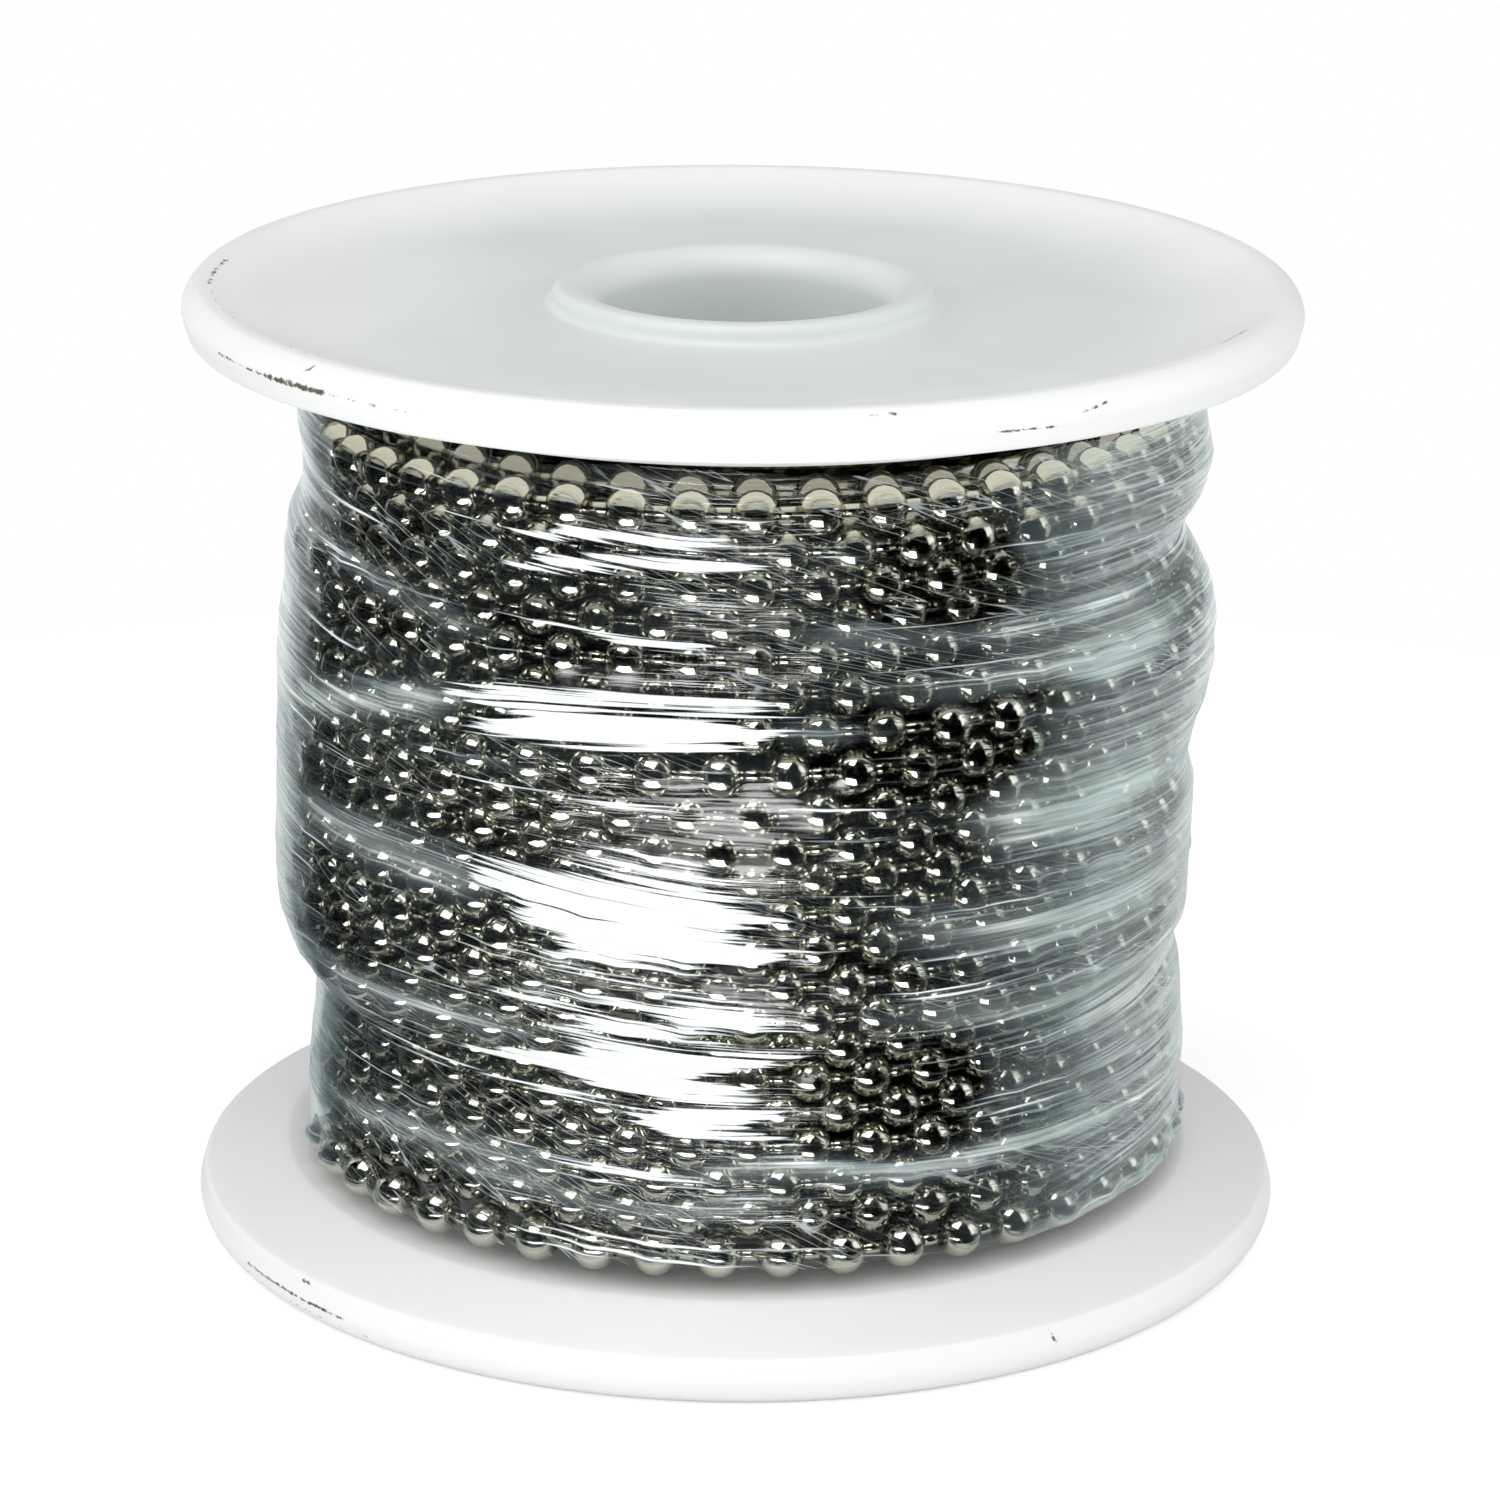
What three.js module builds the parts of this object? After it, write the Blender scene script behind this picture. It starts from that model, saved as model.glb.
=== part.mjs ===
// A reel of ball chain for roller blinds: a white plastic reel in two moulded halves, the chain wound
// on its barrel between the flanges, and the clear stretch film that holds the turns in place.
// Millimetres, +Z up along the reel's bore, origin at the middle of the face that the reel stands on.

import * as THREE from "three";

// Reel
const reelHeight = 96.4;
const flangeRadius = 55;
const boreRadius = 14.2;
const barrelRadius = 17.8;
const webThickness = 4.6;
const dishDepth = 2.6;
const dishSlopeWidth = 11.2;

// Rim of a flange: a flat crest to stand on, a round outer corner, a tapered band and a sloped shoulder
const rimCrestWidth = 1.2;
const rimCornerWidth = 1.7;
const rimBandHeight = 2.1;
const rimBandTaper = 0.6;
const rimShoulderWidth = 8.5;

// Raised collar round the bore
const collarHeight = 2;
const collarLipRadius = 3;
const collarCrestWidth = 0.5;
const collarFilletRadius = 0.9;
const barrelFootFillet = 1.5;

// Joint between the two halves, in the middle of the barrel
const spigotRadius = 15.7;
const spigotLength = 10;
const spigotChamfer = 0.5;

// Clearance between pieces that touch on the real reel
const seatGap = 0.3;

// Ball chain
const beadDiameter = 4.5;
const beadPitch = 6;
const linkDiameter = 1.3;
const nestSlack = 0.1;
const hollowDepth = 0.8;
const woundRadius = 42.4;
const turnSway = 0.5;
const chainStartDegrees = -110;

// Stretch film round the winding
const filmThickness = 0.35;
const filmTopInset = 1.2;
const filmBottomInset = 2.2;

// How far the winding swells past its nominal radius, by height between the flanges (0 to 1),
// on the side that faces -X and on the side that faces +X
const swell = [
  { height: 0, left: -1, right: -0.2 },
  { height: 0.13, left: -1.2, right: 0.1 },
  { height: 0.24, left: -2.1, right: -0.6 },
  { height: 0.3, left: -1.3, right: -1 },
  { height: 0.42, left: 1.1, right: 0.5 },
  { height: 0.51, left: 1.2, right: -0.4 },
  { height: 0.65, left: 0.6, right: 2.1 },
  { height: 0.78, left: -0.5, right: -1.6 },
  { height: 0.87, left: -1.3, right: 0.8 },
  { height: 1, left: -2.1, right: -0.4 },
];

// Facets
const reelSides = 36;
const filmSides = 36;

const halfHeight = reelHeight / 2;
const webOuterLevel = halfHeight - dishDepth;
const webInnerLevel = webOuterLevel - webThickness;
const windingFloor = halfHeight - webInnerLevel + seatGap;
const windingCeiling = halfHeight + webInnerLevel - seatGap;

function point(radius, level) {
  return new THREE.Vector2(radius, level);
}

// Points of an arc about a centre, from one angle to another in degrees, both ends included.
function arc(centreRadius, centreLevel, radius, fromDegrees, toDegrees, steps) {
  const points = [];
  for (let i = 0; i <= steps; i += 1) {
    const angle = THREE.MathUtils.degToRad(THREE.MathUtils.lerp(fromDegrees, toDegrees, i / steps));
    points.push(point(centreRadius + radius * Math.cos(angle), centreLevel + radius * Math.sin(angle)));
  }
  return points;
}

// The arc that leaves a level line at `start` and reaches a point `run` further out and `rise` above it.
function arcFromLevel(start, run, rise, steps) {
  const radius = (run * run + rise * rise) / (2 * rise);
  const sweep = THREE.MathUtils.radToDeg(Math.atan2(run, radius - rise));
  return arc(start.x, start.y + radius, radius, -90, -90 + sweep, steps);
}

// Flange profile of a half, from the bore's mouth over the outer face, round the rim and back along
// the inner face to the barrel. Levels are measured from the joint in the middle of the reel.
function flangeProfile() {
  const collarCrest = webOuterLevel + collarHeight;
  const collarRidge = boreRadius + collarLipRadius;
  const collarRound = collarHeight - collarFilletRadius;
  const collarEdge = collarRidge + collarCrestWidth;
  const collarFoot = collarEdge + collarRound + collarFilletRadius;

  const crestOuter = flangeRadius - rimCornerWidth;
  const crestInner = crestOuter - rimCrestWidth;
  const cornerHeight = dishDepth;
  const cornerRadius = (rimCornerWidth ** 2 + cornerHeight ** 2) / (2 * rimCornerWidth);
  const cornerSweep = THREE.MathUtils.radToDeg(Math.asin(cornerHeight / cornerRadius));
  const bandFoot = point(flangeRadius - rimBandTaper, webOuterLevel - rimBandHeight);
  const shoulderStart = point(bandFoot.x - rimShoulderWidth, webInnerLevel);

  return [
    ...arc(collarRidge, collarCrest - collarLipRadius, collarLipRadius, 180, 90, 3),
    ...arc(collarEdge, collarCrest - collarRound, collarRound, 90, 0, 2),
    ...arc(collarFoot, webOuterLevel + collarFilletRadius, collarFilletRadius, 180, 270, 2).slice(1),
    ...arcFromLevel(point(crestInner - dishSlopeWidth, webOuterLevel), dishSlopeWidth, dishDepth, 3),
    ...arc(flangeRadius - cornerRadius, webOuterLevel, cornerRadius, cornerSweep, 0, 3),
    bandFoot,
    shoulderStart,
    ...arc(
      barrelRadius + barrelFootFillet, webInnerLevel - barrelFootFillet, barrelFootFillet, 90, 180, 2),
  ];
}

// The upper half's barrel ends at the joint and goes on as a spigot inside the lower half.
function spigotProfile() {
  const endLevel = seatGap / 2;
  const tipLevel = endLevel - spigotLength;
  return [
    point(barrelRadius, endLevel),
    point(spigotRadius, endLevel),
    point(spigotRadius, tipLevel + spigotChamfer),
    point(spigotRadius - spigotChamfer, tipLevel),
    point(boreRadius, tipLevel),
  ];
}

// The lower half's barrel has a counterbore that takes the spigot.
function socketProfile() {
  const endLevel = seatGap / 2;
  const socketRadius = spigotRadius + seatGap;
  const floorLevel = endLevel + spigotLength;
  return [
    point(barrelRadius, endLevel),
    point(socketRadius, endLevel),
    point(socketRadius, floorLevel),
    point(boreRadius, floorLevel),
  ];
}

// A half of the reel turns about Z, with its joint at level 0 and its flange above.
function reelHalfGeometry(barrelEnd) {
  const profile = [...flangeProfile(), ...barrelEnd];
  profile.push(profile[0].clone());
  const geometry = new THREE.LatheGeometry(profile.reverse(), reelSides);
  return geometry.rotateX(Math.PI / 2);
}

// Radius of the bead centres at an angle and a height above the base. The swell runs in straight
// lines between its heights, so the film, which has a ring at each, lies along the winding.
function beadCentreRadius(angle, level) {
  const share = windingShare(level);
  const upper = Math.max(1, swell.findIndex((entry) => entry.height >= share));
  const low = swell[upper - 1];
  const high = swell[upper];
  const blend = (share - low.height) / (high.height - low.height);
  const left = THREE.MathUtils.lerp(low.left, high.left, blend);
  const right = THREE.MathUtils.lerp(low.right, high.right, blend);
  return woundRadius + THREE.MathUtils.lerp(left, right, (1 + Math.cos(angle)) / 2);
}

// How far up the winding a height lies, from 0 at the lower flange to 1 at the upper one.
function windingShare(level) {
  return THREE.MathUtils.clamp((level - windingFloor) / (windingCeiling - windingFloor), 0, 1);
}

// The beads of one turn nest between those of the last, so a turn holds a whole number and a half,
// and a turn rises by the height of the triangle that three touching beads make.
const beadsPerTurn = Math.floor((2 * Math.PI * woundRadius) / beadPitch) + 0.5;
const stepsPerTurn = 2 * beadsPerTurn;
const turnRise = Math.sqrt((beadDiameter + nestSlack) ** 2 - (beadPitch / 2) ** 2);
const firstTurnLevel = windingFloor + beadDiameter / 2;
const fullTurns = Math.floor((windingCeiling - windingFloor - beadDiameter) / turnRise);

// Height of the chain after a number of turns from its start. It strays up and down a little on its
// way round, most in the middle of the reel.
function turnLevel(turns) {
  const level = firstTurnLevel + turnRise * turns;
  const share = windingShare(level);
  const stray = Math.sin(4 * Math.PI * turns + 5 * share) * Math.sin(Math.PI * share);
  return level + turnSway * stray;
}

// The wound chain is one closed body. Its outer face is a relief of the last layer of beads, which
// follows the helix: the crest line passes over each bead and each link, a bead at every second
// step, and the hollow line half a turn's rise above it lies between two turns. A plain ring closes
// the relief at each flange, and from there the ends and the inner wall are plain.
function woundChainGeometry() {
  const positions = [];
  const index = [];

  const addVertex = (angle, radius, level) => {
    positions.push(radius * Math.cos(angle), radius * Math.sin(angle), level);
    return positions.length / 3 - 1;
  };
  const chainStart = THREE.MathUtils.degToRad(chainStartDegrees);
  const stepAngle = (step) => chainStart + (2 * Math.PI * step) / stepsPerTurn;
  const addRing = (radiusAt, level) => {
    const ring = [];
    for (let step = 0; step < stepsPerTurn; step += 1) {
      const angle = stepAngle(step);
      ring.push(addVertex(angle, radiusAt(angle), level));
    }
    return ring;
  };
  const addHelix = (firstStep, lastStep, rise, proudAt) => {
    const line = new Map();
    for (let step = firstStep; step <= lastStep; step += 1) {
      const angle = stepAngle(step);
      const level = turnLevel(step / stepsPerTurn + rise);
      line.set(step, addVertex(angle, beadCentreRadius(angle, level) + proudAt(step), level));
    }
    return line;
  };
  const addFan = (centre, corners) => {
    for (let i = 0; i + 1 < corners.length; i += 1) {
      index.push(centre, corners[i], corners[i + 1]);
    }
  };
  const joinRings = (lower, upper) => {
    for (let step = 0; step < stepsPerTurn; step += 1) {
      const next = (step + 1) % stepsPerTurn;
      addFan(lower[step], [lower[next], upper[next], upper[step]]);
    }
  };

  const lastStep = fullTurns * stepsPerTurn;
  const hollowProud = -hollowDepth;
  const isBead = (step) => step % 2 === 0;
  const crestProud = (step) => (isBead(step) ? beadDiameter : linkDiameter) / 2;
  const hollowRadius = (level) => (angle) => beadCentreRadius(angle, level) + hollowProud;

  const floorEdge = addRing(hollowRadius(windingFloor), windingFloor);
  const hollow = addHelix(-stepsPerTurn, lastStep, 0.5, () => hollowProud);
  const crest = addHelix(0, lastStep, 0, crestProud);
  const ceilingEdge = addRing(hollowRadius(windingCeiling), windingCeiling);

  // Each bead is a low pyramid: every diagonal of the cells round it runs to its top.
  for (let step = 0; step < lastStep; step += 1) {
    const below = step - stepsPerTurn;
    const bead = isBead(step) ? crest.get(step) : crest.get(step + 1);
    const sideLink = isBead(step) ? crest.get(step + 1) : crest.get(step);
    if (isBead(step)) {
      addFan(bead, [sideLink, hollow.get(step + 1), hollow.get(step)]);
      addFan(bead, [hollow.get(below), hollow.get(below + 1), sideLink]);
    } else {
      addFan(bead, [hollow.get(step + 1), hollow.get(step), sideLink]);
      addFan(bead, [sideLink, hollow.get(below), hollow.get(below + 1)]);
    }
  }

  // The wedge between the lower flange and the first turn, and its last cell, which meets the seam.
  const lastColumn = stepsPerTurn - 1;
  for (let step = 0; step < lastColumn; step += 1) {
    const above = step - stepsPerTurn;
    addFan(floorEdge[step], [floorEdge[step + 1], hollow.get(above + 1), hollow.get(above)]);
  }
  addFan(hollow.get(-1), [
    floorEdge[lastColumn], floorEdge[0], hollow.get(-stepsPerTurn), crest.get(0), hollow.get(0),
  ]);

  // The wedge between the last turn and the upper flange, and its first cell.
  const lastTurn = lastStep - stepsPerTurn;
  addFan(hollow.get(lastTurn + 1), [
    ceilingEdge[1], ceilingEdge[0], hollow.get(lastStep), crest.get(lastStep), hollow.get(lastTurn),
  ]);
  for (let step = 1; step < stepsPerTurn; step += 1) {
    const next = (step + 1) % stepsPerTurn;
    const below = lastTurn + step;
    addFan(hollow.get(below), [hollow.get(below + 1), ceilingEdge[next], ceilingEdge[step]]);
  }

  // Ends and inner wall, cut back at the fillet where the barrel meets each flange.
  const innerRadius = (barrelRadius + seatGap) / Math.cos(Math.PI / stepsPerTurn);
  const endRadius = innerRadius + barrelFootFillet;
  const ceilingFoot = addRing(() => endRadius, windingCeiling);
  const innerTop = addRing(() => innerRadius, windingCeiling - barrelFootFillet);
  const innerBottom = addRing(() => innerRadius, windingFloor + barrelFootFillet);
  const floorFoot = addRing(() => endRadius, windingFloor);
  joinRings(ceilingEdge, ceilingFoot);
  joinRings(ceilingFoot, innerTop);
  joinRings(innerTop, innerBottom);
  joinRings(innerBottom, floorFoot);
  joinRings(floorFoot, floorEdge);

  return indexedGeometry(positions, index);
}

function indexedGeometry(positions, index) {
  const geometry = new THREE.BufferGeometry();
  geometry.setAttribute("position", new THREE.Float32BufferAttribute(positions, 3));
  geometry.setIndex(index);
  geometry.computeVertexNormals();
  return geometry;
}

// The film is a sleeve with a ring of corners at its two edges and at each height of the swell
// between them. Its flat facets clear the beads by the seat gap.
function stretchFilmGeometry() {
  const span = windingCeiling - windingFloor;
  const bottom = windingFloor + filmBottomInset;
  const top = windingCeiling - filmTopInset;
  const between = swell
    .map((entry) => windingFloor + span * entry.height)
    .filter((level) => level > bottom && level < top);
  const levels = [bottom, ...between, top];
  const facetReach = 1 / Math.cos(Math.PI / filmSides);

  const sectionAt = (angle) => {
    const inner = levels.map((level) => {
      const beadCrest = beadCentreRadius(angle, level) + beadDiameter / 2;
      return [(beadCrest + seatGap) * facetReach, level];
    });
    const outer = inner.map(([radius, level]) => [radius + filmThickness, level]);
    return [...outer, ...inner.reverse()];
  };

  const positions = [];
  const index = [];
  const corners = 2 * levels.length;
  for (let side = 0; side < filmSides; side += 1) {
    const angle = (2 * Math.PI * side) / filmSides;
    for (const [radius, level] of sectionAt(angle)) {
      positions.push(radius * Math.cos(angle), radius * Math.sin(angle), level);
    }
    const next = (side + 1) % filmSides;
    for (let corner = 0; corner < corners; corner += 1) {
      const after = (corner + 1) % corners;
      const a = side * corners + corner;
      const b = next * corners + corner;
      const c = next * corners + after;
      const d = side * corners + after;
      index.push(a, b, c, a, c, d);
    }
  }
  return indexedGeometry(positions, index);
}

const whitePlastic = { color: 0xe9edec, roughness: 0.45, metalness: 0 };
const nickel = { color: 0xb9b3a6, roughness: 0.15, metalness: 1 };
const clearFilm = { color: 0xdfe8e4, roughness: 0.2, metalness: 0, transparent: true, opacity: 0.35 };

function piece(name, geometry, finish) {
  const mesh = new THREE.Mesh(geometry, new THREE.MeshStandardMaterial(finish));
  mesh.name = name;
  return mesh;
}

const reel = new THREE.Group();
reel.position.z = halfHeight;

const upperHalf = piece("reel_upper_half", reelHalfGeometry(spigotProfile()), whitePlastic);
reel.add(upperHalf);

const lowerHalf = piece("reel_lower_half", reelHalfGeometry(socketProfile()), whitePlastic);
lowerHalf.rotation.x = Math.PI;
reel.add(lowerHalf);

const chainReel = new THREE.Group();
chainReel.add(reel);
chainReel.add(piece("wound_chain", woundChainGeometry(), nickel));
chainReel.add(piece("stretch_film", stretchFilmGeometry(), clearFilm));

export default chainReel;
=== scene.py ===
import math

import bpy
import numpy as np
from mathutils import Matrix, Vector


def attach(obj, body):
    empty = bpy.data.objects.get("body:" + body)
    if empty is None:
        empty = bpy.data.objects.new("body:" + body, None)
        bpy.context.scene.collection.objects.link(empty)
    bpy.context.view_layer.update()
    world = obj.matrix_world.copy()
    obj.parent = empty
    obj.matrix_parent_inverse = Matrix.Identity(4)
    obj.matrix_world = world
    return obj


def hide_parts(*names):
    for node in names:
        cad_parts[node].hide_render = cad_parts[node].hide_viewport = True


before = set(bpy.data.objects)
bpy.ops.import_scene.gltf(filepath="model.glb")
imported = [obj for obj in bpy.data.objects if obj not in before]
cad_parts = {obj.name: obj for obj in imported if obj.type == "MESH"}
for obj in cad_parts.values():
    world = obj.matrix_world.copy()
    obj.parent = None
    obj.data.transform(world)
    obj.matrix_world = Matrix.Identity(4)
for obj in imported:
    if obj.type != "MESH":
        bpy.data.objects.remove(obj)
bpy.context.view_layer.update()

MM = 0.001
DEGREE = math.pi / 180

# Reel
REEL_HEIGHT = 96.4 * MM
FLANGE_RADIUS = 55 * MM
BORE_RADIUS = 14.2 * MM
BARREL_RADIUS = 17.8 * MM
WEB_THICKNESS = 4.6 * MM
DISH_DEPTH = 2.6 * MM
DISH_SLOPE_WIDTH = 11.2 * MM
RIM_CREST_WIDTH = 1.2 * MM
RIM_CORNER_WIDTH = 1.7 * MM
RIM_BAND_HEIGHT = 2.1 * MM
RIM_BAND_TAPER = 0.6 * MM
RIM_SHOULDER_WIDTH = 8.5 * MM
COLLAR_HEIGHT = 2 * MM
COLLAR_LIP_RADIUS = 3 * MM
COLLAR_CREST_WIDTH = 0.5 * MM
COLLAR_FILLET_RADIUS = 0.9 * MM
BARREL_FOOT_FILLET = 1.5 * MM
SEAT_GAP = 0.3 * MM
SPIGOT_RADIUS = 15.7 * MM
SPIGOT_LENGTH = 10 * MM
CORNER_REACH = 0.35 * MM
LONGEST_STEP = 1.3 * MM

# Ball chain, wound on the reel
BEAD_DIAMETER = 4.5 * MM
BEAD_PITCH = 6 * MM
BEAD_HOLE_RADIUS = 0.8 * MM
LINK_DIAMETER = 1.3 * MM
NEST_SLACK = 0.1 * MM
WOUND_RADIUS = 42.4 * MM
TURN_SWAY = 0.5 * MM
LAYER_STEP = 4.2 * MM
CHAIN_START = -165 * DEGREE
OUTER_PIECES = 3
SETTLE_ROUNDS = 90

# Radius of the wrapped winding on its left and right side, by height above the floor
LIMB_LEVELS = np.array([
    7.5, 19.1, 22.3, 27, 30.2, 31.8, 33.3, 36.5, 39.7, 46, 49.2, 52.4, 55.5, 58.7, 63.5, 66.6, 69.8, 73,
    76.8, 79.8, 83.5, 89]) * MM
LIMB_LEFT = np.array([
    43.6, 43.1, 42.8, 42.6, 45.1, 45.7, 46.2, 46.5, 46.7, 46.3, 46.4, 46.2, 46.2, 46.3, 45.8, 45.3, 45.3,
    44.8, 43.1, 43.3, 43.8, 44]) * MM
LIMB_RIGHT = np.array([
    44.8, 45.3, 45.1, 44.8, 43.9, 44.2, 45.2, 45.4, 45.5, 45.7, 44.7, 45.4, 46.4, 47, 47.4, 46.8, 45.1,
    43.2, 45.7, 46.6, 45.8, 45.4]) * MM
BEAD_INSET = 2.75 * MM

HALF_HEIGHT = REEL_HEIGHT / 2
WEB_OUTER_LEVEL = HALF_HEIGHT - DISH_DEPTH
WEB_INNER_LEVEL = WEB_OUTER_LEVEL - WEB_THICKNESS
WINDING_FLOOR = HALF_HEIGHT - WEB_INNER_LEVEL + SEAT_GAP
WINDING_CEILING = HALF_HEIGHT + WEB_INNER_LEVEL - SEAT_GAP

# Furrows in the winding, where a turn has sunk between its neighbours: height between the flanges,
# middle and half width in degrees from the front (left is negative), and depth. A depth below 0
# raises the turn
FURROWS = [
    (0.02, 0, 120, -2.4 * MM),
    (0.905, -14, 34, 1.3 * MM),
    (0.706, -22, 48, 1.9 * MM),
    (0.505, -26, 50, 1.7 * MM),
    (0.43, 44, 30, 1.3 * MM),
    (0.345, -12, 36, 1.4 * MM),
    (0.268, -14, 40, 1.6 * MM),
    (0.62, 50, 34, 1.5 * MM),
    (0.8, 38, 30, 1.2 * MM),
    (0.195, -4, 28, 1.1 * MM),
    (0.6, 170, 60, 1.5 * MM),
    (0.35, 140, 50, 1.4 * MM),
    (0.8, -150, 50, 1.4 * MM),
    (0.25, -130, 45, 1.5 * MM),
]
FURROW_WIDTH = 2.2 * MM

# Film
FILM_TOP_INSET = 1.2 * MM
FILM_BOTTOM_INSET = 2.2 * MM
FILM_LIFT = 0.08 * MM
FILM_END_FADE = 9 * MM
VEIL_DEPTH = 1.1 * MM
RIPPLE = 0.05 * MM
FOLD = 0.35 * MM
EDGE_WANDER = 0.6 * MM
STREAK_STRAY = 2.2 * MM
SKIN_COLUMNS = 480
SKIN_ROUNDS = 700

# Painted highlights: white creases of the film, in place of the lamps' reflection in them; then its hazy
# and, below 0, its clear
# bands: degrees from the front and height in mm at the left end and at the right end, half thickness in mm,
# and strength
CREASE_HIGHLIGHTS = [
    (-23, 81.4, 5, 81.4, 0.7, 0.8),
    (-31, 78.6, 2, 78.6, 0.9, 0.9),
    (-23, 72.1, -4, 71.9, 0.7, 0.7),
    (-35, 64.2, 6, 64.2, 1.9, 1.0),
    (-33, 45.8, 3, 45.5, 2.4, 0.95),
    (-21, 42.2, 6, 40.8, 1.2, 0.7),
    (-25, 34.2, 6, 34.5, 1.4, 0.7),
    (-29, 28.9, 4, 29.8, 2.0, 0.95),
    (-11, 24.8, 7, 23.3, 1.5, 0.85),
]
HAZE_BANDS = [
    (-71, 58.1, -35, 64.0, 1.4, 0.8),
    (-70, 48.3, -31, 46.8, 1.6, 0.8),
    (-67, 31.4, -26, 32.1, 1.2, 0.6),
    (-64, 74.8, -32, 70.7, 1.0, 0.4),
    (-68, 17.4, -21, 17.5, 1.2, 0.6),
    (7, 63.9, 68, 67.8, 1.6, 0.8),
    (7, 72.1, 40, 70.2, 1.0, 0.5),
    (29, 53.0, 66, 53.0, 2.4, 0.8),
    (19, 42.2, 68, 40.3, 2.0, 0.6),
    (19, 34.2, 69, 31.6, 1.4, 0.6),
    (-11, 19.0, 60, 18.2, 0.9, 0.7),
    (-40, 15.1, 8, 15.6, 0.9, 0.6),
    (10, 64.8, 45, 64.4, 1.2, -0.8),
    (16, 76.5, 36, 75.5, 3.0, -0.8),
    (10, 60.4, 38, 60.0, 2.0, -0.8),
    (5, 26.0, 32, 26.4, 2.4, -0.7),
]

# Scuffs on the rims: lines at a level or, on the upper crest, at a radius. Degrees from the front,
# height or radius in mm at both ends, half thickness in mm, and how dense they are
UPPER_MARKS = [
    ("radius", -98, -84, 51.6, 52.2, 0.45, 0.75),
    ("radius", -84, -33, 52.1, 52.0, 0.3, 0.5),
    ("level", -64, -54, 94.1, 94.0, 0.35, 0.75),
    ("level", -54, -44, 94.0, 94.1, 0.6, 1.0),
    ("level", -44, -30, 94.1, 94.0, 0.3, 0.55),
    ("level", -48.5, -46.5, 95.0, 96.2, 0.35, 0.8),
    ("level", 24.5, 31.5, 93.7, 93.5, 0.3, 0.75),
    ("level", 34, 37.5, 94.4, 95.0, 0.35, 0.8),
    ("level", 12, 15, 95.9, 95.9, 0.3, 0.7),
    ("radius", 60, 67, 51.6, 51.9, 0.4, 0.8),
]
LOWER_MARKS = [
    ("level", -61, -43, 2.6, 2.4, 0.4, 0.8),
    ("level", -75, -40, 1.5, 1.3, 0.3, 0.5),
    ("level", 33.2, 34.6, 4.4, 2.2, 0.9, 0.8),
    ("level", -50.5, -49, 4.2, 4.2, 0.4, 0.8),
]

MARK_FADE = 0.6

# Stage
FLOOR_RADIUS = 0.22
TENT_RADIUS = 1.6
WORLD_LIGHT = 0.66

FRONT = -math.pi / 2


# Camera: fitted to the outlines of the two flanges in the photograph

def make_camera():
    elevation = 17.623 * DEGREE
    roll = 0.489 * DEGREE
    distance = 569.3 * MM
    place = (0, -distance * math.cos(elevation), HALF_HEIGHT + distance * math.sin(elevation))
    data = bpy.data.cameras.new("camera")
    data.sensor_width = 36
    data.lens = 135.66
    data.shift_x = 0.00715
    data.shift_y = -0.00395
    data.clip_start = 0.01
    camera = bpy.data.objects.new("camera", data)
    bpy.context.scene.collection.objects.link(camera)
    camera.matrix_world = (
        Matrix.Translation(place)
        @ Matrix.Rotation(math.pi / 2 - elevation, 4, "X")
        @ Matrix.Rotation(roll, 4, "Z")
    )
    bpy.context.scene.camera = camera


# Mesh helpers

def mesh_object(name, points, faces, material, uv=None, smooth=True):
    """An object from an array of points and a list of face arrays, each with one size of face."""
    mesh = bpy.data.meshes.new(name)
    mesh.vertices.add(len(points))
    mesh.vertices.foreach_set("co", np.ascontiguousarray(points, dtype=np.float32).ravel())
    corners = np.concatenate([block.ravel() for block in faces]).astype(np.int32)
    sizes = np.concatenate([np.full(len(block), block.shape[1], np.int32) for block in faces])
    starts = np.concatenate([[0], np.cumsum(sizes)[:-1]]).astype(np.int32)
    mesh.loops.add(len(corners))
    mesh.loops.foreach_set("vertex_index", corners)
    mesh.polygons.add(len(sizes))
    mesh.polygons.foreach_set("loop_start", starts)
    mesh.polygons.foreach_set("loop_total", sizes)
    mesh.update(calc_edges=True)
    if smooth:
        mesh.shade_smooth()
    if uv is not None:
        layer = mesh.uv_layers.new(name="wrap")
        layer.data.foreach_set("uv", np.concatenate([block.ravel() for block in uv]).astype(np.float32))
    mesh.materials.append(material)
    built = bpy.data.objects.new(name, mesh)
    bpy.context.scene.collection.objects.link(built)
    return built


def add_value(mesh, name, values):
    """A number for each vertex, which a material reads by its name."""
    attribute = mesh.attributes.new(name=name, type="FLOAT", domain="POINT")
    attribute.data.foreach_set("value", np.asarray(values, dtype=np.float32))


def grid_faces(rows, columns, wrap_rows=False, wrap_columns=False):
    """Quads of a grid of points stored row by row."""
    i = np.arange(rows if wrap_rows else rows - 1)
    j = np.arange(columns if wrap_columns else columns - 1)
    i, j = np.meshgrid(i, j, indexing="ij")
    i, j = i.ravel(), j.ravel()
    after_i, after_j = (i + 1) % rows, (j + 1) % columns
    return np.stack(
        [i * columns + j, after_i * columns + j, after_i * columns + after_j, i * columns + after_j], axis=1)


def smooth_noise(across, up, cells_across, cells_up, seed):
    """Soft noise from -1 to 1 over across and up, each from 0 to 1. It repeats across."""
    table = np.random.default_rng(seed).uniform(-1, 1, (cells_across, cells_up + 2))
    x = (np.asarray(across) % 1) * cells_across
    y = np.clip(np.asarray(up), 0, 1) * cells_up
    i, j = np.floor(x).astype(int), np.floor(y).astype(int)
    fx, fy = x - i, y - j
    fx, fy = fx * fx * (3 - 2 * fx), fy * fy * (3 - 2 * fy)
    i = i % cells_across
    k = (i + 1) % cells_across
    low = table[i, j] * (1 - fx) + table[k, j] * fx
    high = table[i, j + 1] * (1 - fx) + table[k, j + 1] * fx
    return low * (1 - fy) + high * fy


# Material helpers

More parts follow.
